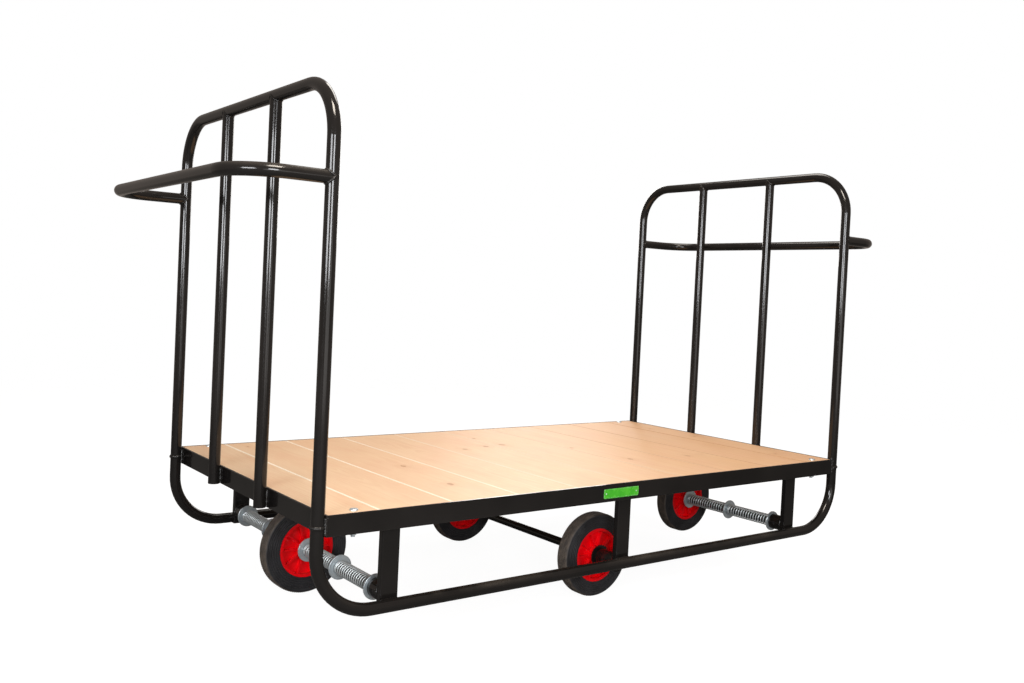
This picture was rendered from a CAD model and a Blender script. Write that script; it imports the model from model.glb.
import math

import bmesh
import bpy
from mathutils import Euler, Matrix, Vector


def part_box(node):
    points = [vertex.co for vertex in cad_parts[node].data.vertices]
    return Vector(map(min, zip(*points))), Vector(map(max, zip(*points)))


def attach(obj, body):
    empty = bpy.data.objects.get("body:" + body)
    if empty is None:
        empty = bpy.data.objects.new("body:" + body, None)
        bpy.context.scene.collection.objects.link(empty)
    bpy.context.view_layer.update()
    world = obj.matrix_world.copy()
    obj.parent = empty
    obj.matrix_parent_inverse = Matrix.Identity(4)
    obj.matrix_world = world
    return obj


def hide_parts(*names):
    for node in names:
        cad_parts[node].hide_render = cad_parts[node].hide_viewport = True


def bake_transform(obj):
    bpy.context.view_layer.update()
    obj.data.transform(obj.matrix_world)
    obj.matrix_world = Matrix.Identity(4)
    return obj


# A two-ended platform trolley: a welded steel frame, a plank deck, and four wheels, two of them sprung.
# Metres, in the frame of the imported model: +X along the trolley, -Y the near side, +Z up.
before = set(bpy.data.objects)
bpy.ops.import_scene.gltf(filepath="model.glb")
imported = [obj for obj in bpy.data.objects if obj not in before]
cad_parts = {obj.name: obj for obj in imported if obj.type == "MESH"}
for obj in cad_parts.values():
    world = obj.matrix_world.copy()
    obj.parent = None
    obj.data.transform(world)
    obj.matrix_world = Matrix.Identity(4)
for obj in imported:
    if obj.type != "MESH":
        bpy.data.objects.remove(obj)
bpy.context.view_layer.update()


# --- Tubes, bars and rails of the frame -------------------------------------------------------------
# Bent mild steel tube, flat box tube and angle, welded together and then powder coated gloss black.
# The coat has a slight orange peel, thins on the sharp edges, and picks up a little yard dust on top.
def add(tree, kind, feeds=None, **settings):
    """One node of a tree, with its settings and what feeds or fills its inputs."""
    node = tree.nodes.new(kind)
    for name, value in settings.items():
        setattr(node, name, value)
    for socket, value in (feeds or {}).items():
        if isinstance(value, bpy.types.NodeSocket):
            tree.links.new(value, node.inputs[socket])
        else:
            node.inputs[socket].default_value = value
    return node


def maths(tree, operation, first, second=None, third=None):
    """The result of one Math node."""
    node = add(tree, "ShaderNodeMath", {0: first}, operation=operation)
    for place, value in ((1, second), (2, third)):
        if isinstance(value, bpy.types.NodeSocket):
            tree.links.new(value, node.inputs[place])
        elif value is not None:
            node.inputs[place].default_value = value
    return node.outputs[0]


def spread(tree, value, low, high, to_low=0.0, to_high=1.0):
    """Smoothly turns low..high into to_low..to_high."""
    feeds = {"Value": value, "From Min": low, "From Max": high, "To Min": to_low, "To Max": to_high}
    return add(tree, "ShaderNodeMapRange", feeds, interpolation_type="SMOOTHSTEP").outputs[0]


def blended(tree, share, first, second, way="MIX"):
    """Two colours mixed by a share."""
    node = add(tree, "ShaderNodeMix", {0: share, 6: first, 7: second}, data_type="RGBA", blend_type=way)
    return node.outputs[2]


def grain(tree, place, scale, detail=4.0, roughness=0.55, stretch=(1.0, 1.0, 1.0)):
    """Noise at a place, drawn out along one axis where stretch is small."""
    mapped = add(tree, "ShaderNodeMapping", {"Vector": place, "Scale": stretch}).outputs[0]
    feeds = {"Vector": mapped, "Scale": scale, "Detail": detail, "Roughness": roughness}
    return add(tree, "ShaderNodeTexNoise", feeds).outputs["Fac"]


def shared_effect(name, inputs, outputs):
    """An empty shader group with number inputs and outputs."""
    group = bpy.data.node_groups.new(name, "ShaderNodeTree")
    for label, value in inputs:
        group.interface.new_socket(label, in_out="INPUT", socket_type="NodeSocketFloat").default_value = value
    for label in outputs:
        group.interface.new_socket(label, in_out="OUTPUT", socket_type="NodeSocketFloat")
    return group, add(group, "NodeGroupInput").outputs, add(group, "NodeGroupOutput")


# Wear along sharp edges, broken up by noise: 1 where the surface is rubbed
edge_wear, worn_in, worn_out = shared_effect("Edge wear", (("Radius", 0.0015), ("Breakup", 120.0)), ("Wear",))
rounded = add(edge_wear, "ShaderNodeBevel", {"Radius": worn_in["Radius"]}, samples=4).outputs[0]
facing = add(edge_wear, "ShaderNodeNewGeometry").outputs["Normal"]
agreement = add(edge_wear, "ShaderNodeVectorMath", {0: rounded, 1: facing}, operation="DOT_PRODUCT").outputs["Value"]
edge_mask = spread(edge_wear, agreement, 0.995, 0.86)
place = add(edge_wear, "ShaderNodeTexCoord").outputs["Object"]
breakup = add(edge_wear, "ShaderNodeTexNoise", {"Vector": place, "Scale": worn_in["Breakup"], "Detail": 5.0})
broken = spread(edge_wear, breakup.outputs["Fac"], 0.36, 0.62)
edge_wear.links.new(maths(edge_wear, "MULTIPLY", edge_mask, broken), worn_out.inputs["Wear"])

# Fine dust that settles on surfaces that face up, in soft patches
dust, dust_in, dust_out = shared_effect("Settled dust", (("Patch Scale", 9.0), ("Speck Scale", 900.0)), ("Dust",))
up = add(dust, "ShaderNodeSeparateXYZ", {0: add(dust, "ShaderNodeNewGeometry").outputs["Normal"]}).outputs["Z"]
place = add(dust, "ShaderNodeTexCoord").outputs["Object"]
patches = add(dust, "ShaderNodeTexNoise", {"Vector": place, "Scale": dust_in["Patch Scale"], "Detail": 6.0})
specks = add(dust, "ShaderNodeTexNoise", {"Vector": place, "Scale": dust_in["Speck Scale"], "Detail": 2.0})
settled = maths(dust, "MULTIPLY", spread(dust, up, 0.15, 0.95), spread(dust, patches.outputs["Fac"], 0.42, 0.72))
settled = maths(dust, "MULTIPLY", settled, spread(dust, specks.outputs["Fac"], 0.3, 0.62, 0.35, 1.0))
dust.links.new(settled, dust_out.inputs["Dust"])

# Slow change over a surface and fine texture in it, for uneven gloss and small bumps
uneven_sizes = (("Broad Scale", 6.0), ("Fine Scale", 350.0))
uneven, uneven_in, uneven_out = shared_effect("Uneven", uneven_sizes, ("Broad", "Fine"))
place = add(uneven, "ShaderNodeTexCoord").outputs["Object"]
for label, detail in (("Broad", 5.0), ("Fine", 2.0)):
    feeds = {"Vector": place, "Scale": uneven_in[f"{label} Scale"], "Detail": detail}
    noise = add(uneven, "ShaderNodeTexNoise", feeds).outputs["Fac"]
    uneven.links.new(spread(uneven, noise, 0.25, 0.75), uneven_out.inputs[label])


def effect(tree, group, **sizes):
    """A shared effect placed in a material with its own sizes."""
    node = add(tree, "ShaderNodeGroup", node_tree=group)
    for label, value in sizes.items():
        node.inputs[label.replace("_", " ").title()].default_value = value
    return node.outputs


def finish(name, **plain):
    """A new material with its shader, and the plain settings that are the same all over."""
    material = bpy.data.materials.new(name)
    material.use_nodes = True
    tree = material.node_tree
    shader = tree.nodes["Principled BSDF"]
    for label, value in plain.items():
        shader.inputs[label.replace("_", " ").title().replace("Ior", "IOR")].default_value = value
    return material, tree, shader.inputs


def raised(tree, height, distance, strength=1.0):
    """A small relief of that height, as a normal."""
    feeds = {"Height": height, "Distance": distance, "Strength": strength}
    return add(tree, "ShaderNodeBump", feeds).outputs["Normal"]


def clad(material, *names):
    """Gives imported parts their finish."""
    for name in names:
        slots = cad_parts[name].data.materials
        for place in range(len(slots)):
            slots[place] = material
        if not slots:
            slots.append(material)


def black_coat(name, base, dusty, peel_depth):
    """Gloss black powder coat: its depth of black, the colour of the dust on it, and its orange peel."""
    material, tree, shader = finish(name, specular_ior_level=0.45)
    surface = effect(tree, uneven, broad_scale=4.5, fine_scale=110.0)
    wear = effect(tree, edge_wear, radius=0.0016, breakup=140.0)["Wear"]
    film = effect(tree, dust, patch_scale=7.0, speck_scale=700.0)["Dust"]
    coat = blended(tree, surface["Broad"], base, tuple(1.9 * part for part in base[:3]) + (1.0,))
    coat = blended(tree, maths(tree, "MULTIPLY", wear, 0.5), coat, (0.07, 0.065, 0.06, 1.0))
    tree.links.new(blended(tree, maths(tree, "MULTIPLY", film, 0.2), coat, dusty), shader["Base Color"])
    gloss = spread(tree, surface["Broad"], 0.0, 1.0, 0.09, 0.16)
    gloss = maths(tree, "MULTIPLY_ADD", wear, 0.15, gloss)
    tree.links.new(maths(tree, "MULTIPLY_ADD", film, 0.3, gloss), shader["Roughness"])
    tree.links.new(raised(tree, surface["Fine"], peel_depth), shader["Normal"])
    return material


powder_coat = black_coat("gloss_black_powder_coat", (0.0065, 0.0058, 0.0055, 1.0), (0.2, 0.17, 0.14, 1.0), 0.000012)
ends = ("left", "right")
sides = ("near", "far")
for end in ends:
    clad(powder_coat, f"hoop_{end}", f"upright_bars_{end}", f"push_handle_{end}", f"deck_rail_{end}")
for side in sides:
    clad(powder_coat, f"lower_rail_{side}", f"deck_rail_{side}")
clad(powder_coat, "end_hangers", "centre_hangers", "axle_sockets", "axle_centre")


# --- Weld beads -------------------------------------------------------------------------------------
# Lumpy runs of weld metal wherever two pieces of the frame meet, under the same black coat.
# Each bead follows the line of its joint: a saddle on a tube, a ring, or a straight run.
tube_low, tube_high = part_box("hoop_left")
tube_radius = (tube_high.x - tube_low.x) / 2
hoop_x = -(tube_high.x + tube_low.x) / 2
post_y = tube_high.y - tube_radius
hoop_top_z = tube_high.z - tube_radius
seam_z = tube_low.z
handle_low, handle_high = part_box("push_handle_left")
handle_z = (handle_high.z + handle_low.z) / 2
rail_low, rail_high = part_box("deck_rail_near")
deck_x, deck_y, deck_foot_z, deck_top_z = rail_high.x, -rail_low.y, rail_low.z, rail_high.z
bar_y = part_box("upright_bars_left")[1].y - tube_radius
lower_rail_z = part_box("lower_rail_near")[0].z + tube_radius
hanger_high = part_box("end_hangers")[1]
end_axle_x = (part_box("axle_right")[0].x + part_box("axle_right")[1].x) / 2
end_axle_z = (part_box("axle_left")[0].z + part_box("axle_left")[1].z) / 2
centre_axle_z = (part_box("axle_centre")[0].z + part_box("axle_centre")[1].z) / 2
hanger_outer_y = hanger_high.y
hanger_half_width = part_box("centre_hangers")[1].x
hanger_inner_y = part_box("axle_sockets")[1].y
socket_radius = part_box("axle_sockets")[1].x - end_axle_x

bead_runs = []
circle = [(math.cos(math.pi * step / 24), math.sin(math.pi * step / 24)) for step in range(48)]
seam_bead, handle_bead, hoop_bead, bar_bead = 0.0058, 0.0034, 0.0030, 0.0038
hanger_bead, foot_bead, socket_bead = 0.0030, 0.0036, 0.0028
# Up the ends of a deck rail: bead radius, distance out from the rail, place across, room at foot and top
corner_beads = (
    (0.0052, 0.0012, post_y + 0.0108, 0.004, 0.005),
    (0.0036, 0.0018, post_y - 0.0110, 0.003, 0.003),
    (0.0036, -0.0022, deck_y - 0.0022, 0.003, 0.004),
)


def bead(radius, line, closed=False):
    """Keeps the line of one bead, with the radius of the bead."""
    bead_runs.append((radius, line, closed))


def upright_bead(radius, x, y, low_z, high_z):
    """A straight bead up the corner between a tube and a rail."""
    bead(radius, [(x, y, low_z), (x, y, high_z)])


for way in (-1, 1):
    for side in (-1, 1):
        x, y = way * hoop_x, side * post_y
        seam_radius = tube_radius - 0.0026
        bead(seam_bead, [(x + seam_radius * c, y + seam_radius * s, seam_z) for c, s in circle], True)
        round_post = [
            (x + way * tube_radius * abs(c), y + tube_radius * s, handle_z + tube_radius * c) for c, s in circle
        ]
        bead(handle_bead, round_post, True)
        for radius, out, across, foot, top in corner_beads:
            upright_bead(radius, way * (deck_x + out), side * across, deck_foot_z + foot, deck_top_z - top)
        y = side * bar_y
        under_hoop = [
            (x + tube_radius * s, y + tube_radius * c, hoop_top_z - tube_radius * abs(c)) for c, s in circle
        ]
        bead(hoop_bead, under_hoop, True)
        for across in (-0.0105, 0.0105):
            upright_bead(bar_bead, way * (deck_x + 0.0018), y + across, deck_foot_z + 0.002, deck_top_z - 0.003)
for x, axle_z in ((-end_axle_x, end_axle_z), (0.0, centre_axle_z), (end_axle_x, end_axle_z)):
    for side in (-1, 1):
        inner_y, outer_y, top_z = side * hanger_inner_y, side * hanger_outer_y, hanger_high.z
        low_x, high_x = x - hanger_half_width, x + hanger_half_width
        head = [(low_x, inner_y, top_z), (high_x, inner_y, top_z), (high_x, outer_y, top_z), (low_x, outer_y, top_z)]
        bead(hanger_bead, head, True)
        for up in (-0.0095, 0.0095):
            y = outer_y + side * 0.0014
            bead(foot_bead, [(low_x + 0.003, y, lower_rail_z + up), (high_x - 0.003, y, lower_rail_z + up)])
        round_socket = [(x + socket_radius * c, inner_y, axle_z + socket_radius * s) for c, s in circle]
        bead(socket_bead, round_socket, True)

bead_mesh = bpy.data.meshes.new("bead_lines")
corners, edges, radii = [], [], []
for radius, line, closed in bead_runs:
    first, last = len(corners), len(corners) + len(line) - 1
    corners += line
    radii += [radius] * len(line)
    edges += [(point, point + 1) for point in range(first, last)]
    if closed:
        edges.append((last, first))
bead_mesh.from_pydata(corners, edges, [])
bead_mesh.attributes.new("bead_radius", "FLOAT", "POINT").data.foreach_set("value", radii)


def geometry_tree(name, sizes):
    """An empty Geometry Nodes tree with named size inputs."""
    tree = bpy.data.node_groups.new(name, "GeometryNodeTree")
    tree.interface.new_socket("Geometry", in_out="INPUT", socket_type="NodeSocketGeometry")
    for label, value in sizes:
        kind = "NodeSocketInt" if isinstance(value, int) else "NodeSocketFloat"
        tree.interface.new_socket(label, in_out="INPUT", socket_type=kind).default_value = value
    tree.interface.new_socket("Geometry", in_out="OUTPUT", socket_type="NodeSocketGeometry")
    return tree, add(tree, "NodeGroupInput").outputs


def close_tree(tree, geometry, material):
    """Ends a tree: smooth faces, real geometry, one material."""
    smooth = add(tree, "GeometryNodeSetShadeSmooth", {"Geometry": geometry}).outputs[0]
    real = add(tree, "GeometryNodeRealizeInstances", {"Geometry": smooth}).outputs[0]
    painted = add(tree, "GeometryNodeSetMaterial", {"Geometry": real, "Material": material}).outputs[0]
    add(tree, "NodeGroupOutput", {"Geometry": painted})


def grown(name, tree, start, sizes):
    """A piece made by a tree from a starting mesh, kept as a plain mesh."""
    piece = bpy.data.objects.new(name, start)
    bpy.context.scene.collection.objects.link(piece)
    modifier = piece.modifiers.new(tree.name, "NODES")
    modifier.node_group = tree
    for socket in tree.interface.items_tree:
        if socket.in_out == "INPUT" and socket.name in sizes:
            modifier[socket.identifier] = sizes[socket.name]
    bpy.context.view_layer.update()
    whole = piece.evaluated_get(bpy.context.evaluated_depsgraph_get())
    plain = bpy.data.meshes.new_from_object(whole)
    piece.modifiers.remove(modifier)
    piece.data = plain
    plain.name = name
    return piece


weld_sizes = (("Step", 0.0011), ("Ripple Length", 0.0036), ("Ripple Depth", 0.22), ("Lumps", 0.0016), ("Seed", 7.0))
weld_run, size = geometry_tree("Weld run", weld_sizes)
line = add(weld_run, "GeometryNodeMeshToCurve", {"Mesh": size["Geometry"]}).outputs[0]
line = add(weld_run, "GeometryNodeResampleCurve", {"Curve": line, "Length": size["Step"]}, mode="LENGTH").outputs[0]
along = add(weld_run, "GeometryNodeSplineParameter").outputs["Length"]
turn = maths(weld_run, "MULTIPLY", maths(weld_run, "DIVIDE", along, size["Ripple Length"]), math.pi)
ripple = maths(weld_run, "ABSOLUTE", maths(weld_run, "SINE", turn))
ripple = maths(weld_run, "MULTIPLY_ADD", ripple, size["Ripple Depth"], 0.86)
own_radius = add(weld_run, "GeometryNodeInputNamedAttribute", {"Name": "bead_radius"}, data_type="FLOAT")
thickness = maths(weld_run, "MULTIPLY", ripple, own_radius.outputs["Attribute"])
section = add(weld_run, "GeometryNodeCurvePrimitiveCircle", {"Resolution": 8, "Radius": 1.0}).outputs["Curve"]
feeds = {"Curve": line, "Profile Curve": section, "Scale": thickness, "Fill Caps": True}
bead_body = add(weld_run, "GeometryNodeCurveToMesh", feeds).outputs[0]
where = add(weld_run, "GeometryNodeInputPosition").outputs[0]
feeds = {"Vector": where, "W": size["Seed"], "Scale": 170.0, "Detail": 3.0}
noise = add(weld_run, "ShaderNodeTexNoise", feeds, noise_dimensions="4D").outputs["Color"]
centred = add(weld_run, "ShaderNodeVectorMath", {0: noise, 1: (0.5, 0.5, 0.5)}, operation="SUBTRACT").outputs[0]
lump = add(weld_run, "ShaderNodeVectorMath", {0: centred, "Scale": size["Lumps"]}, operation="SCALE").outputs[0]
lumpy = add(weld_run, "GeometryNodeSetPosition", {"Geometry": bead_body, "Offset": lump}).outputs[0]
weld_coat = black_coat("powder_coat_over_weld", (0.008, 0.0072, 0.0068, 1.0), (0.24, 0.2, 0.17, 1.0), 0.0001)
close_tree(weld_run, lumpy, weld_coat)
welds = grown("weld_beads", weld_run, bead_mesh, {"Seed": 7.0})
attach(welds, "frame")


# --- Deck boards ------------------------------------------------------------------------------------
# Planed softwood boards across the trolley, tongue in groove, each sawn from its own part of a log.
# The growth rings, the fibres and a few knots run through the whole board, along Y.
def deck_timber():
    """Pale planed softwood, a little different from board to board and warmer towards the right end."""
    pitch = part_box("deck_board_4")[0].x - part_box("deck_board_3")[0].x
    board_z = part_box("deck_board_3")[1].z
    material, tree, shader = finish("planed_softwood", specular_ior_level=0.35)
    place = add(tree, "ShaderNodeTexCoord").outputs["Object"]
    axes = add(tree, "ShaderNodeSeparateXYZ", {0: place}).outputs
    board = maths(tree, "FLOOR", maths(tree, "DIVIDE", axes["X"], pitch))
    chance = add(tree, "ShaderNodeTexWhiteNoise", {"W": maths(tree, "ADD", board, 11.0)}, noise_dimensions="1D")
    lot = add(tree, "ShaderNodeSeparateColor", {0: chance.outputs["Color"]}).outputs
    own = add(tree, "ShaderNodeVectorMath", {0: chance.outputs["Color"], "Scale": 9.0}, operation="SCALE").outputs[0]
    shifted = add(tree, "ShaderNodeVectorMath", {0: place, 1: own}, operation="ADD").outputs[0]

    # Knots: the nearest of some scattered points in each board, kept where its own chance is high
    flat = add(tree, "ShaderNodeVectorMath", {0: shifted, 1: (1.0, 0.62, 0.0)}, operation="MULTIPLY").outputs[0]
    feeds = {"Vector": flat, "Scale": 4.6, "Randomness": 1.0}
    spots = add(tree, "ShaderNodeTexVoronoi", feeds, voronoi_dimensions="2D")
    spot = add(tree, "ShaderNodeSeparateColor", {0: spots.outputs["Color"]}).outputs
    kept = spread(tree, spot[0], 0.34, 0.38)
    knot_size = spread(tree, spot[1], 0.0, 1.0, 0.016, 0.046)
    ragged = spread(tree, grain(tree, shifted, 70.0, 3.0, 0.6), 0.25, 0.75, 0.6, 1.5)
    knot_distance = maths(tree, "MULTIPLY", maths(tree, "DIVIDE", spots.outputs["Distance"], knot_size), ragged)
    knot = maths(tree, "MULTIPLY", spread(tree, knot_distance, 1.1, 0.75), kept)
    knot_halo = maths(tree, "MULTIPLY", spread(tree, knot_distance, 4.5, 0.6), kept)

    # Growth rings: distance from a pith line that lies under the board, with slow wander along it
    wander = grain(tree, shifted, 5.0, 3.0, 0.5, (1.0, 0.22, 1.0))
    round_knots = maths(tree, "MULTIPLY", knot_halo, 0.012)
    wander = maths(tree, "MULTIPLY_ADD", maths(tree, "SUBTRACT", wander, 0.5), 0.075, round_knots)
    pith_place = maths(tree, "ADD", maths(tree, "ADD", board, -0.1), maths(tree, "MULTIPLY", lot[0], 1.2))
    pith_x = maths(tree, "MULTIPLY", pith_place, pitch)
    pith_depth = maths(tree, "MULTIPLY_ADD", lot[1], 0.12, 0.03)
    from_x = maths(tree, "SUBTRACT", axes["X"], pith_x)
    from_z = maths(tree, "ADD", maths(tree, "SUBTRACT", axes["Z"], board_z), pith_depth)
    squares = maths(tree, "ADD", maths(tree, "POWER", from_x, 2.0), maths(tree, "POWER", from_z, 2.0))
    reach = maths(tree, "SQRT", squares)
    ring_width = 0.0058
    ring = maths(tree, "FRACT", maths(tree, "DIVIDE", maths(tree, "ADD", reach, wander), ring_width))
    late = maths(tree, "MULTIPLY", spread(tree, ring, 0.25, 0.86), spread(tree, ring, 1.0, 0.93))
    late = maths(tree, "MULTIPLY", late, spread(tree, grain(tree, shifted, 9.0, 3.0), 0.25, 0.75, 0.35, 1.0))
    fibres = grain(tree, shifted, 900.0, 3.0, 0.6, (1.0, 0.012, 1.0))
    streaks = grain(tree, shifted, 60.0, 4.0, 0.6, (1.0, 0.04, 1.0))
    stains = spread(tree, grain(tree, shifted, 8.0, 6.0, 0.62, (1.0, 0.55, 1.0)), 0.38, 0.72)

    along_deck = spread(tree, axes["X"], -1.0, 1.0)
    early_wood = blended(tree, along_deck, (0.83, 0.6, 0.4, 1.0), (0.74, 0.44, 0.225, 1.0))
    late_wood = blended(tree, along_deck, (0.74, 0.47, 0.27, 1.0), (0.66, 0.35, 0.16, 1.0))
    colour = blended(tree, maths(tree, "MULTIPLY", late, 0.62), early_wood, late_wood)
    colour = blended(tree, spread(tree, lot[2], 0.0, 1.0, 0.0, 0.34), colour, (0.79, 0.5, 0.3, 1.0))
    colour = blended(tree, maths(tree, "MULTIPLY", stains, 0.55), colour, (0.75, 0.43, 0.26, 1.0))
    colour = blended(tree, spread(tree, streaks, 0.35, 0.7, 0.0, 0.2), colour, (0.9, 0.68, 0.48, 1.0))
    colour = blended(tree, spread(tree, fibres, 0.45, 0.8, 0.0, 0.22), colour, (0.6, 0.36, 0.2, 1.0))
    colour = blended(tree, maths(tree, "MULTIPLY", knot_halo, 0.3), colour, (0.62, 0.33, 0.15, 1.0))
    knot_rings = maths(tree, "FRACT", maths(tree, "MULTIPLY", knot_distance, 3.0))
    knot_wood = blended(tree, knot_rings, (0.56, 0.24, 0.1, 1.0), (0.3, 0.11, 0.045, 1.0))
    colour = blended(tree, maths(tree, "MULTIPLY", knot, 0.72), colour, knot_wood)
    within = maths(tree, "FRACT", maths(tree, "DIVIDE", axes["X"], pitch))
    from_joint = maths(tree, "MINIMUM", within, maths(tree, "SUBTRACT", 1.0, within))
    joint_edge = spread(tree, from_joint, 0.034, 0.004)
    joint_tone = blended(tree, along_deck, (1.0, 0.93, 0.8, 1.0), (0.5, 0.24, 0.09, 1.0))
    colour = blended(tree, maths(tree, "MULTIPLY", joint_edge, 0.85), colour, joint_tone)
    film = effect(tree, dust, patch_scale=3.0, speck_scale=500.0)["Dust"]
    colour = blended(tree, maths(tree, "MULTIPLY", film, 0.1), colour, (0.72, 0.62, 0.5, 1.0))
    tree.links.new(colour, shader["Base Color"])
    rough = maths(tree, "MULTIPLY_ADD", fibres, 0.14, 0.46)
    tree.links.new(maths(tree, "MULTIPLY_ADD", late, -0.06, rough), shader["Roughness"])
    relief = maths(tree, "MULTIPLY_ADD", late, 0.5, maths(tree, "MULTIPLY", fibres, 0.8))
    relief = maths(tree, "SUBTRACT", relief, maths(tree, "MULTIPLY", knot, 0.4))
    tree.links.new(raised(tree, relief, 0.00022), shader["Normal"])
    return material


clad(deck_timber(), *[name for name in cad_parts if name.startswith("deck_board_")])


# --- Bolts, washers and set screws ------------------------------------------------------------------
# Turned and pressed steel parts with bright zinc plate: cool grey, a little mottled, brighter on the rims.
# The set screws are black steel, deep in the sockets.
def zinc_plate(name, pale, deep, lowest, highest):
    """Bright zinc plate between two greys, with gloss between two roughnesses."""
    material, tree, shader = finish(name, metallic=0.75)
    surface = effect(tree, uneven, broad_scale=38.0, fine_scale=900.0)
    wear = effect(tree, edge_wear, radius=0.0012, breakup=260.0)["Wear"]
    place = add(tree, "ShaderNodeTexCoord").outputs["Object"]
    spangle = add(tree, "ShaderNodeTexVoronoi", {"Vector": place, "Scale": 420.0}).outputs["Color"]
    spangle = add(tree, "ShaderNodeSeparateColor", {0: spangle}).outputs[0]
    colour = blended(tree, surface["Broad"], pale, deep)
    colour = blended(tree, maths(tree, "MULTIPLY", spangle, 0.14), colour, (0.5, 0.55, 0.62, 1.0))
    colour = blended(tree, maths(tree, "MULTIPLY", wear, 0.55), colour, (0.92, 0.94, 0.96, 1.0))
    tree.links.new(colour, shader["Base Color"])
    rough = spread(tree, surface["Broad"], 0.0, 1.0, lowest, highest)
    tree.links.new(maths(tree, "MULTIPLY_ADD", spangle, 0.06, rough), shader["Roughness"])
    tree.links.new(raised(tree, surface["Fine"], 0.00005), shader["Normal"])
    return material


bright_zinc = zinc_plate("bright_zinc_plate", (0.76, 0.83, 0.86, 1.0), (0.56, 0.63, 0.67, 1.0), 0.28, 0.44)
clad(bright_zinc, "deck_bolts", "end_washers", "hub_washers_left", "hub_washers_right")
clad(bright_zinc, *[f"mid_washer_{end}_{side}" for end in ends for side in sides])
screw_black = black_coat("blackened_screw_steel", (0.02, 0.019, 0.019, 1.0), (0.1, 0.09, 0.08, 1.0), 0.00004)
clad(screw_black, "set_screws")


# --- Blank plate on the near rail -------------------------------------------------------------------
# A thin aluminium plate, enamelled green, with a raised border, held by two round-headed rivets.
# It carries no words or mark.
def green_enamel():
    """Glossy green enamel, slightly clouded."""
    material, tree, shader = finish("green_enamel", coat_weight=0.5, coat_roughness=0.1)
    surface = effect(tree, uneven, broad_scale=30.0, fine_scale=1200.0)
    wear = effect(tree, edge_wear, radius=0.0008, breakup=500.0)["Wear"]
    colour = blended(tree, surface["Broad"], (0.045, 0.42, 0.02, 1.0), (0.09, 0.56, 0.03, 1.0))
    tree.links.new(blended(tree, wear, colour, (0.55, 0.6, 0.56, 1.0)), shader["Base Color"])
    tree.links.new(spread(tree, surface["Broad"], 0.0, 1.0, 0.22, 0.34), shader["Roughness"])
    tree.links.new(raised(tree, surface["Fine"], 0.00003), shader["Normal"])
    return material


enamel = green_enamel()
clad(enamel, "name_plate")
plate_low, plate_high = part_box("name_plate")
plate_middle = (plate_low + plate_high) / 2
border_inset, border_width, border_height = 0.0015, 0.0012, 0.0004
border_foot = -0.0002
rivet_radius, rivet_height, rivet_inset = 0.0022, 0.0012, 0.007
rivet_steps, rivet_rows = 16, 5


def outline(half_length, half_height, corner, steps=6):
    """Points round a rectangle with rounded corners, anticlockwise seen from the near side."""
    straight_x, straight_z = half_length - corner, half_height - corner
    points = []
    for quarter, (x, z) in enumerate(((1, 1), (-1, 1), (-1, -1), (1, -1))):
        for step in range(steps + 1):
            angle = math.pi / 2 * (quarter + step / steps)
            points.append((x * straight_x + corner * math.cos(angle), z * straight_z + corner * math.sin(angle)))
    return points


def lathe(name, section, steps):
    """A closed section of (distance along Y, radius) points, swept round the Y axis."""
    corners, faces = [], []
    for step in range(steps):
        angle = 2 * math.pi * step / steps
        corners += [(radius * math.cos(angle), along, radius * math.sin(angle)) for along, radius in section]
    count = len(section)
    for step in range(steps):
        here, there = step * count, (step + 1) % steps * count
        for point in range(count):
            after = (point + 1) % count
            faces.append((here + point, here + after, there + after, there + point))
    mesh = bpy.data.meshes.new(name)
    mesh.from_pydata(corners, [], faces)
    return mesh


def settle(mesh, angle=35.0):
    """Merges doubles, points the faces outwards, and smooths all but the sharp edges."""
    work = bmesh.new()
    work.from_mesh(mesh)
    bmesh.ops.remove_doubles(work, verts=work.verts, dist=1e-6)
    bmesh.ops.recalc_face_normals(work, faces=work.faces)
    work.to_mesh(mesh)
    work.free()
    mesh.shade_smooth()
    mesh.set_sharp_from_angle(angle=math.radians(angle))
    return mesh


def placed(name, mesh, material):
    """A finished piece in the scene."""
    mesh.materials.append(material)
    piece = bpy.data.objects.new(name, mesh)
    bpy.context.scene.collection.objects.link(piece)
    return piece


half_length = (plate_high.x - plate_low.x) / 2 - border_inset
half_height = (plate_high.z - plate_low.z) / 2 - border_inset
outer = outline(half_length, half_height, 0.002)
inner = outline(half_length - border_width, half_height - border_width, 0.001)
face_y = plate_low.y
corners = []
for ring, lift in ((outer, border_foot), (outer, border_height), (inner, border_height), (inner, border_foot)):
    corners += [(plate_middle.x + x, face_y - lift, plate_middle.z + z) for x, z in ring]
count = len(outer)
faces = []
for band in range(4):
    low, high = band * count, (band + 1) % 4 * count
    for point in range(count):
        after = (point + 1) % count
        faces.append((low + point, low + after, high + after, high + point))
for sign in (-1, 1):
    start = len(corners)
    rivet_x = plate_middle.x + sign * (half_length - rivet_inset)
    for row in range(rivet_rows):
        rise = math.pi / 2 * row / rivet_rows
        radius, y = rivet_radius * math.cos(rise), face_y - rivet_height * math.sin(rise)
        for step in range(rivet_steps):
            angle = 2 * math.pi * step / rivet_steps
            corners.append((rivet_x + radius * math.cos(angle), y, plate_middle.z + radius * math.sin(angle)))
    corners.append((rivet_x, face_y - rivet_height, plate_middle.z))
    for row in range(rivet_rows - 1):
        low, high = start + row * rivet_steps, start + (row + 1) * rivet_steps
        for step in range(rivet_steps):
            after = (step + 1) % rivet_steps
            faces.append((low + step, low + after, high + after, high + step))
    top = start + (rivet_rows - 1) * rivet_steps
    faces += [(top + step, top + (step + 1) % rivet_steps, top + rivet_steps) for step in range(rivet_steps)]
    faces.append(tuple(start + step for step in range(rivet_steps)))
plate_mesh = bpy.data.meshes.new("plate_border")
plate_mesh.from_pydata(corners, [], faces)
plate_border = placed("plate_border_and_rivets", settle(plate_mesh), enamel)
plate_mesh.materials.append(bright_zinc)
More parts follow.
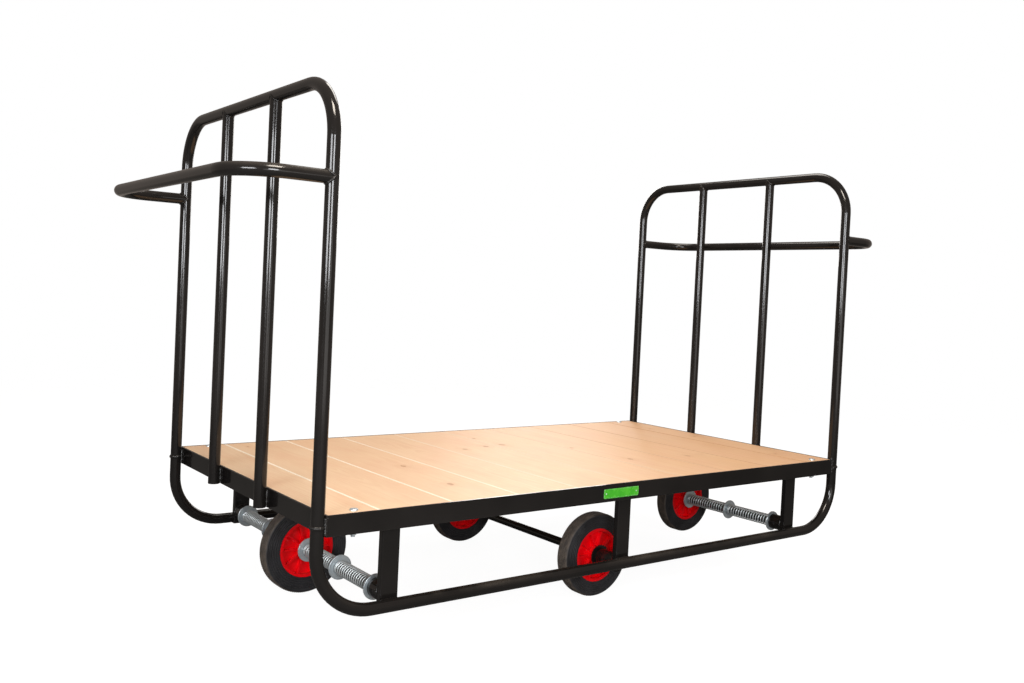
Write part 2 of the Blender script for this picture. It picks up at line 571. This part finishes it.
for face in plate_mesh.polygons:
    inside_x = abs(face.center.x - plate_middle.x) < half_length - border_width
    inside_z = abs(face.center.z - plate_middle.z) < half_height - border_width
    face.material_index = int(inside_x and inside_z)
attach(plate_border, "frame")


# --- Axles, bushes, sleeves and collars -------------------------------------------------------------
# Plain turned steel bar and tube with a film of oil, darker where the springs keep the grease in; the
# tool left fine rings round them. The washers and collars of the centre wheels are painted black.
def turned_steel(name, pale, deep):
    """Oiled steel between two greys, with fine turning marks round Y."""
    material, tree, shader = finish(name, metallic=1.0)
    surface = effect(tree, uneven, broad_scale=22.0, fine_scale=600.0)
    wear = effect(tree, edge_wear, radius=0.001, breakup=300.0)["Wear"]
    place = add(tree, "ShaderNodeTexCoord").outputs["Object"]
    rings = grain(tree, place, 1400.0, 2.0, 0.5, (0.01, 1.0, 0.01))
    colour = blended(tree, surface["Broad"], pale, deep)
    colour = blended(tree, maths(tree, "MULTIPLY", wear, 0.6), colour, (0.75, 0.74, 0.72, 1.0))
    tree.links.new(colour, shader["Base Color"])
    rough = spread(tree, surface["Broad"], 0.0, 1.0, 0.24, 0.42)
    tree.links.new(maths(tree, "MULTIPLY_ADD", rings, 0.1, rough), shader["Roughness"])
    tree.links.new(raised(tree, rings, 0.00005), shader["Normal"])
    return material


bright_steel = turned_steel("oiled_turned_steel", (0.48, 0.47, 0.45, 1.0), (0.3, 0.29, 0.28, 1.0))
greased_steel = turned_steel("greased_axle_steel", (0.1, 0.096, 0.09, 1.0), (0.05, 0.048, 0.045, 1.0))
clad(bright_steel, "sleeve_left", "sleeve_right", "bush_centre_near", "bush_centre_far")
clad(greased_steel, "axle_left", "axle_right")
clad(powder_coat, "thrust_washers", "axle_collars")


# --- Springs ----------------------------------------------------------------------------------------
# Zinc-plated wire coiled into open springs with close turns at both ends, two on each side of each end
# wheel. They press on the washers, and shorten or lengthen as the wheel slides along its axle.
def spring_wire():
    """Drawn wire under thin zinc, bright on the outside of the coil and darker between the turns."""
    material, tree, shader = finish("zinc_plated_wire", metallic=0.65)
    surface = effect(tree, uneven, broad_scale=55.0, fine_scale=1500.0)
    colour = blended(tree, surface["Broad"], (0.8, 0.84, 0.85, 1.0), (0.6, 0.65, 0.66, 1.0))
    shut_in = add(tree, "ShaderNodeAmbientOcclusion", {"Distance": 0.006}, samples=4).outputs["AO"]
    grime = spread(tree, shut_in, 0.74, 0.3)
    colour = blended(tree, maths(tree, "MULTIPLY", grime, 0.92), colour, (0.03, 0.028, 0.026, 1.0))
    tree.links.new(colour, shader["Base Color"])
    tree.links.new(spread(tree, surface["Broad"], 0.0, 1.0, 0.34, 0.48), shader["Roughness"])
    tree.links.new(raised(tree, surface["Fine"], 0.00002), shader["Normal"])
    return material


wire_finish = spring_wire()
spring_low, spring_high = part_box("spring_left_near_inner")
coil_radius = (spring_high.x - spring_low.x) / 2
spring_length = spring_high.y - spring_low.y
coil_sizes = (
    ("Length", spring_length),
    ("Outer Radius", coil_radius),
    ("Wire", 0.0042),
    ("Turns", 18.0),
    ("Close Turns", 1.3),
    ("Points", 900),
)
coil, size = geometry_tree("Coil spring", coil_sizes)
line = add(coil, "GeometryNodeCurvePrimitiveLine", {"Start": (0.0, 0.0, 0.0), "End": (0.0, 1.0, 0.0)}).outputs[0]
line = add(coil, "GeometryNodeResampleCurve", {"Curve": line, "Count": size["Points"]}, mode="COUNT").outputs[0]
share = add(coil, "GeometryNodeSplineParameter").outputs["Factor"]
turn = maths(coil, "MULTIPLY", share, size["Turns"])
angle = maths(coil, "MULTIPLY", turn, 2 * math.pi)
mean_radius = maths(coil, "MULTIPLY_ADD", size["Wire"], -0.5, size["Outer Radius"])
start_turns = maths(coil, "MINIMUM", turn, size["Close Turns"])
last_open_turn = maths(coil, "SUBTRACT", size["Turns"], size["Close Turns"])
end_turns = maths(coil, "MAXIMUM", maths(coil, "SUBTRACT", turn, last_open_turn), 0.0)
open_turns = maths(coil, "SUBTRACT", maths(coil, "SUBTRACT", turn, start_turns), end_turns)
close_room = maths(coil, "MULTIPLY", maths(coil, "MULTIPLY", size["Wire"], size["Close Turns"]), 2.0)
open_room = maths(coil, "SUBTRACT", maths(coil, "SUBTRACT", size["Length"], size["Wire"]), close_room)
open_count = maths(coil, "MULTIPLY_ADD", size["Close Turns"], -2.0, size["Turns"])
pitch = maths(coil, "DIVIDE", open_room, open_count)
close_rise = maths(coil, "MULTIPLY", maths(coil, "ADD", start_turns, end_turns), size["Wire"])
rise = maths(coil, "MULTIPLY_ADD", size["Wire"], 0.5, maths(coil, "MULTIPLY_ADD", open_turns, pitch, close_rise))
across = maths(coil, "MULTIPLY", maths(coil, "COSINE", angle), mean_radius)
upward = maths(coil, "MULTIPLY", maths(coil, "SINE", angle), mean_radius)
where = add(coil, "ShaderNodeCombineXYZ", {"X": across, "Y": rise, "Z": upward}).outputs[0]
line = add(coil, "GeometryNodeSetPosition", {"Geometry": line, "Position": where}).outputs[0]
wire_radius = maths(coil, "MULTIPLY", size["Wire"], 0.5)
section = add(coil, "GeometryNodeCurvePrimitiveCircle", {"Resolution": 10, "Radius": wire_radius}).outputs["Curve"]
wire = add(coil, "GeometryNodeCurveToMesh", {"Curve": line, "Profile Curve": section, "Fill Caps": True}).outputs[0]
close_tree(coil, wire, wire_finish)

for end in ends:
    for side in sides:
        for place in ("inner", "outer"):
            name = f"spring_{end}_{side}_{place}"
            low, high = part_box(name)
            start = bpy.data.meshes.new("coil_start")
            spring = grown(f"coil_{end}_{side}_{place}", coil, start, {"Length": high.y - low.y})
            spring.data.transform(Matrix.Translation(((low.x + high.x) / 2, low.y, (low.z + high.z) / 2)))
            # Halfway from the start an inner coil follows its middle washer, which moves half as far as the wheel
            outer_y, inner_y = (low.y, high.y) if side == "near" else (high.y, low.y)
            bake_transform(spring)
            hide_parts(name)


# --- Tyres ------------------------------------------------------------------------------------------
# Solid black rubber, moulded, with fine rings on the side walls and a tread of small slanted blocks.
# The tread has gone brownish grey from yard dust; the side walls stay nearly black.
def tyre_rubber():
    """Black rubber, dusty on the tread; the radius from the wheel's own axle tells the two apart."""
    material, tree, shader = finish("solid_tyre_rubber", specular_ior_level=0.35)
    surface = effect(tree, uneven, broad_scale=26.0, fine_scale=1100.0)
    wear = effect(tree, edge_wear, radius=0.0012, breakup=420.0)["Wear"]
    tread = add(tree, "ShaderNodeAttribute", attribute_name="tread").outputs["Fac"]
    place = add(tree, "ShaderNodeTexCoord").outputs["Object"]
    patches = add(tree, "ShaderNodeTexNoise", {"Vector": place, "Scale": 60.0, "Detail": 5.0}).outputs["Fac"]
    dusty = maths(tree, "MULTIPLY", tread, spread(tree, patches, 0.25, 0.7, 0.45, 1.0))
    colour = blended(tree, surface["Broad"], (0.017, 0.017, 0.019, 1.0), (0.03, 0.03, 0.033, 1.0))
    colour = blended(tree, maths(tree, "MULTIPLY", dusty, 0.8), colour, (0.15, 0.12, 0.095, 1.0))
    colour = blended(tree, maths(tree, "MULTIPLY", wear, 0.35), colour, (0.12, 0.11, 0.1, 1.0))
    tree.links.new(colour, shader["Base Color"])
    rough = spread(tree, surface["Broad"], 0.0, 1.0, 0.42, 0.6)
    tree.links.new(maths(tree, "MULTIPLY_ADD", dusty, 0.22, rough), shader["Roughness"])
    tree.links.new(raised(tree, surface["Fine"], 0.00012), shader["Normal"])
    return material


rubber = tyre_rubber()
tyre_low, tyre_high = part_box("tyre_left")
tyre_radius = (tyre_high.z - tyre_low.z) / 2
tyre_half_width = (tyre_high.y - tyre_low.y) / 2
bead_radius = (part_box("rim_left")[1].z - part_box("rim_left")[0].z) / 2 + 0.0001
block_height = 0.0011
shoulder = 0.007
carcass_steps = 144
tread_low, tread_blend = 0.1195, 0.003
tread_sizes = (
    ("Radius", tyre_radius),
    ("Block Height", block_height),
    ("Row Pitch", 0.0054),
    ("Rows", 6),
    ("Blocks Round", 132),
    ("Slant", 0.42),
)
tread_blocks, size = geometry_tree("Tread blocks", tread_sizes)
block_count = maths(tread_blocks, "MULTIPLY", size["Rows"], size["Blocks Round"])
points = add(tread_blocks, "GeometryNodePoints", {"Count": block_count}).outputs[0]
index = add(tread_blocks, "GeometryNodeInputIndex").outputs[0]
row = maths(tread_blocks, "FLOORED_MODULO", index, size["Rows"])
column = maths(tread_blocks, "FLOOR", maths(tread_blocks, "DIVIDE", index, size["Rows"]))
odd = maths(tread_blocks, "FLOORED_MODULO", row, 2.0)
step_round = maths(tread_blocks, "ADD", column, maths(tread_blocks, "MULTIPLY", odd, 0.5))
angle = maths(tread_blocks, "MULTIPLY", maths(tread_blocks, "DIVIDE", step_round, size["Blocks Round"]), 2 * math.pi)
middle_row = maths(tread_blocks, "MULTIPLY_ADD", size["Rows"], 0.5, -0.5)
across = maths(tread_blocks, "MULTIPLY", maths(tread_blocks, "SUBTRACT", row, middle_row), size["Row Pitch"])
seat = maths(tread_blocks, "MULTIPLY_ADD", size["Block Height"], -0.5, size["Radius"])
out_x, out_z = maths(tread_blocks, "COSINE", angle), maths(tread_blocks, "SINE", angle)
seat_x, seat_z = maths(tread_blocks, "MULTIPLY", out_x, seat), maths(tread_blocks, "MULTIPLY", out_z, seat)
where = add(tread_blocks, "ShaderNodeCombineXYZ", {"X": seat_x, "Y": across, "Z": seat_z}).outputs[0]
points = add(tread_blocks, "GeometryNodeSetPosition", {"Geometry": points, "Position": where}).outputs[0]
outward = add(tread_blocks, "ShaderNodeCombineXYZ", {"X": out_x, "Z": out_z}).outputs[0]
align = "FunctionNodeAlignRotationToVector"
turned = add(tread_blocks, align, {"Vector": outward}, axis="Z", pivot_axis="Y").outputs[0]
slant = maths(tread_blocks, "MULTIPLY", maths(tread_blocks, "MULTIPLY_ADD", odd, 2.0, -1.0), size["Slant"])
own_turn = add(tread_blocks, "ShaderNodeCombineXYZ", {"Z": slant}).outputs[0]
feeds = {"Rotation": turned, "Rotate By": own_turn}
turned = add(tread_blocks, "FunctionNodeRotateRotation", feeds, rotation_space="LOCAL").outputs[0]
feeds = {"Vertices": 4, "Radius Top": 0.0024, "Radius Bottom": 0.003, "Depth": size["Block Height"]}
block = add(tread_blocks, "GeometryNodeMeshCone", feeds).outputs[0]
sunk = maths(tread_blocks, "MULTIPLY", size["Block Height"], -0.5)
down = add(tread_blocks, "ShaderNodeCombineXYZ", {"Z": sunk}).outputs[0]
square_on = Euler((0.0, 0.0, math.pi / 4))
feeds = {"Geometry": block, "Translation": down, "Rotation": square_on, "Scale": (0.82, 1.0, 1.0)}
block = add(tread_blocks, "GeometryNodeTransform", feeds).outputs[0]
feeds = {"Points": points, "Instance": block, "Rotation": turned}
blocks = add(tread_blocks, "GeometryNodeInstanceOnPoints", feeds).outputs[0]
blocks = add(tread_blocks, "GeometryNodeSetShadeSmooth", {"Geometry": blocks, "Shade Smooth": False}).outputs[0]
blocks = add(tread_blocks, "GeometryNodeRealizeInstances", {"Geometry": blocks}).outputs[0]
both = add(tread_blocks, "GeometryNodeJoinGeometry")
tread_blocks.links.new(blocks, both.inputs[0])
tread_blocks.links.new(size["Geometry"], both.inputs[0])
painted = add(tread_blocks, "GeometryNodeSetMaterial", {"Geometry": both.outputs[0], "Material": rubber}).outputs[0]
add(tread_blocks, "NodeGroupOutput", {"Geometry": painted})


def tyre_section():
    """Half of a tyre's section and its mirror: bead, ringed side wall, rounded shoulder, tread floor."""
    side = tyre_half_width
    half = [(side - 0.003, bead_radius), (side - 0.0008, bead_radius + 0.001), (side - 0.0006, bead_radius + 0.003)]
    ring_height, ring_foot, ring_crest = 0.0012, 0.0013, 0.0006
    for radius in (0.088, 0.0945, 0.101, 0.1075, 0.113):
        half += [(side - ring_height, radius - ring_foot), (side, radius - ring_crest)]
        half += [(side, radius + ring_crest), (side - ring_height, radius + ring_foot)]
    middle_y, middle_radius = side - 0.0005 - shoulder, tyre_radius - block_height - shoulder
    for step in range(9):
        angle = math.pi / 2 * step / 8
        half.append((middle_y + shoulder * math.cos(angle), middle_radius + shoulder * math.sin(angle)))
    return half + [(-along, radius) for along, radius in reversed(half)]


wheels = [(name, f"wheel_{name}") for name in ("left", "right", "centre_near", "centre_far")]
for name, body in wheels:
    low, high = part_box(f"tyre_{name}")
    carcass = settle(lathe(f"carcass_{name}", tyre_section(), carcass_steps), 50.0)
    tyre = grown(f"moulded_tyre_{name}", tread_blocks, carcass, {"Radius": tyre_radius})
    marks = tyre.data.attributes.new("tread", "FLOAT", "POINT")
    reach = [math.hypot(corner.co.x, corner.co.z) for corner in tyre.data.vertices]
    marks.data.foreach_set("value", [min(max((radius - tread_low) / tread_blend, 0.0), 1.0) for radius in reach])
    tyre.data.transform(Matrix.Translation((low + high) / 2))
    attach(tyre, body)
    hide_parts(f"tyre_{name}")


# --- Wheel centres ----------------------------------------------------------------------------------
# One moulding of bright red plastic each: a rim, a thin web with ribs, and a long hub for the bearing.
# Glossy, with faint flow marks from the mould and paler rubbed edges.
def red_plastic():
    """Glossy red moulded plastic."""
    material, tree, shader = finish("red_moulded_plastic", specular_ior_level=0.32)
    surface = effect(tree, uneven, broad_scale=18.0, fine_scale=800.0)
    wear = effect(tree, edge_wear, radius=0.0014, breakup=300.0)["Wear"]
    film = effect(tree, dust, patch_scale=20.0, speck_scale=900.0)["Dust"]
    colour = blended(tree, surface["Broad"], (0.95, 0.0, 0.006, 1.0), (0.82, 0.0, 0.004, 1.0))
    colour = blended(tree, maths(tree, "MULTIPLY", wear, 0.35), colour, (0.98, 0.05, 0.07, 1.0))
    colour = blended(tree, maths(tree, "MULTIPLY", film, 0.12), colour, (0.4, 0.2, 0.15, 1.0))
    tree.links.new(colour, shader["Base Color"])
    tree.links.new(spread(tree, surface["Broad"], 0.0, 1.0, 0.26, 0.38), shader["Roughness"])
    tree.links.new(raised(tree, surface["Fine"], 0.00006), shader["Normal"])
    return material


clad(red_plastic(), *[f"rim_{name}" for name, body in wheels])


# --- Floor, light and camera ------------------------------------------------------------------------
# A pale studio floor that fades into a white room, six soft lights, and a camera by the near left end.
def pale_floor():
    """Matt floor that glows white to the camera alone, gone to nothing well away from the trolley."""
    material, tree, shader = finish("pale_floor", specular_ior_level=0.0)
    place = add(tree, "ShaderNodeTexCoord").outputs["Object"]
    mottle = grain(tree, place, 3.0, 3.0)
    tree.links.new(blended(tree, mottle, (0.16, 0.16, 0.16, 1.0), (0.18, 0.18, 0.177, 1.0)), shader["Base Color"])
    tree.links.new(spread(tree, mottle, 0.0, 1.0, 0.85, 0.95), shader["Roughness"])
    away = add(tree, "ShaderNodeVectorMath", {0: place}, operation="LENGTH").outputs["Value"]
    shader["Emission Color"].default_value = (0.95, 0.95, 0.95, 1.0)
    tree.links.new(add(tree, "ShaderNodeLightPath").outputs["Is Camera Ray"], shader["Emission Strength"])
    tree.links.new(spread(tree, away, 2.6, 6.5, 1.0, 0.0), shader["Alpha"])
    return material


floor_mesh = bpy.data.meshes.new("floor")
floor_mesh.from_pydata([(-9, -9, 0), (9, -9, 0), (9, 9, 0), (-9, 9, 0)], [], [(0, 1, 2, 3)])
floor = placed("floor", floor_mesh, pale_floor())

world = bpy.data.worlds.new("white_room")
bpy.context.scene.world = world
world.use_nodes = True
sky = world.node_tree
sky.nodes.clear()
seen = add(sky, "ShaderNodeBackground", {"Color": (1.0, 1.0, 1.0, 1.0), "Strength": 1.0}).outputs[0]
felt = add(sky, "ShaderNodeBackground", {"Color": (1.0, 0.86, 0.76, 1.0), "Strength": 0.28}).outputs[0]
straight = add(sky, "ShaderNodeLightPath").outputs["Is Camera Ray"]
room = add(sky, "ShaderNodeMixShader", {0: straight, 1: felt, 2: seen}).outputs[0]
add(sky, "ShaderNodeOutputWorld", {"Surface": room})


def softbox(name, place, target, width, height, power, colour):
    """A soft light at a place, turned to a target."""
    lamp = bpy.data.lights.new(name, "AREA")
    lamp.shape, lamp.size, lamp.size_y, lamp.energy, lamp.color = "RECTANGLE", width, height, power, colour
    light = bpy.data.objects.new(name, lamp)
    bpy.context.scene.collection.objects.link(light)
    light.location = place
    light.rotation_euler = (Vector(target) - Vector(place)).to_track_quat("-Z", "Y").to_euler()


softbox("front", (-1.75, -3.85, 1.4), (-0.6, -0.4, 0.8), 1.1, 0.9, 62.0, (0.95, 0.97, 1.0))
softbox("left", (-4.1, -2.25, 1.4), (-0.8, -0.3, 0.8), 1.6, 0.9, 78.0, (0.95, 0.97, 1.0))
softbox("fill", (-1.0, -4.6, 0.7), (0.1, 0.0, 0.3), 4.5, 1.2, 22.0, (1.0, 0.97, 0.94))
softbox("ceiling_near", (-1.1, -1.7, 3.1), (-0.1, 0.0, 0.4), 0.9, 0.9, 62.0, (1.0, 0.9, 0.78))
softbox("ceiling_far", (0.9, 0.7, 3.2), (0.3, 0.0, 0.3), 1.5, 1.2, 33.0, (1.0, 0.95, 0.88))
softbox("far_side", (2.6, 3.2, 2.0), (0.2, 0.0, 0.6), 1.2, 1.6, 34.0, (1.0, 0.97, 0.93))

lens = bpy.data.cameras.new("camera")
lens.sensor_width, lens.lens = 36.0, 33.61
lens.shift_x, lens.shift_y = -0.0027, -0.0229
camera = bpy.data.objects.new("camera", lens)
bpy.context.scene.collection.objects.link(camera)
camera.location = (-1.9639, -2.4850, 0.8984)
camera.rotation_euler = [math.radians(angle) for angle in (88.59, -2.751, -37.246)]
bpy.context.scene.camera = camera
bpy.context.scene.view_settings.view_transform = "Standard"
